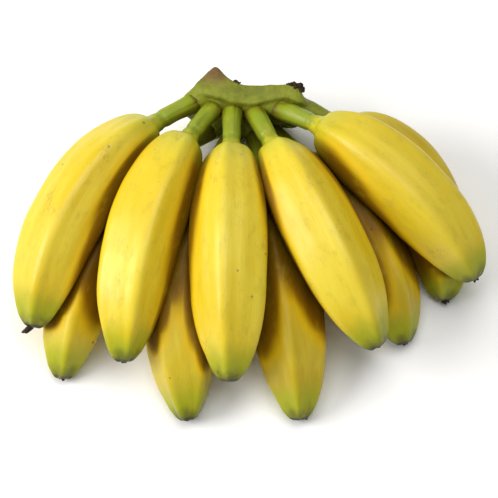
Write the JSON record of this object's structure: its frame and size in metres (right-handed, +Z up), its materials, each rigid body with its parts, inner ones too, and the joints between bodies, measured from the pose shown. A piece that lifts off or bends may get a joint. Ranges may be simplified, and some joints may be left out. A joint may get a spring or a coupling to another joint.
{
  "type": "bunch of bananas",
  "caption": "Hand of short plump bananas in two fanned rows, joined by curved stems to one cut crown and lying hollow side down on a flat surface.",
  "frame": {"origin": "on the surface the hand lies on, under the middle of the whole hand", "axes": "+Z up; the crown is at the back (+Y) and the fruit fan out to the front (-Y); X runs across the fan"},
  "size_m": [0.2058, 0.155, 0.0599],
  "materials": {
    "peel": "waxy yellow peel, greener at the neck and tip, with soft ridges and small brown dots",
    "crown_skin": "olive green fibrous skin, brown and dry where it was cut",
    "dried_flower": "matt black dried flower"
  },
  "bodies": {
    "root": {"crown": "crown_skin", "banana_upper_1": "peel", "banana_upper_2": "peel", "banana_upper_3": "peel", "banana_upper_4": "peel", "banana_upper_5": "peel", "banana_lower_1": "peel", "banana_lower_2": "peel", "banana_lower_3": "peel", "banana_lower_4": "peel", "banana_lower_5": "peel", "flower_end_upper_1": "dried_flower", "flower_end_upper_2": "dried_flower", "flower_end_upper_3": "dried_flower", "flower_end_upper_4": "dried_flower", "flower_end_upper_5": "dried_flower", "flower_end_lower_1": "dried_flower", "flower_end_lower_2": "dried_flower", "flower_end_lower_3": "dried_flower", "flower_end_lower_4": "dried_flower", "flower_end_lower_5": "dried_flower"}
  },
  "joints": []
}
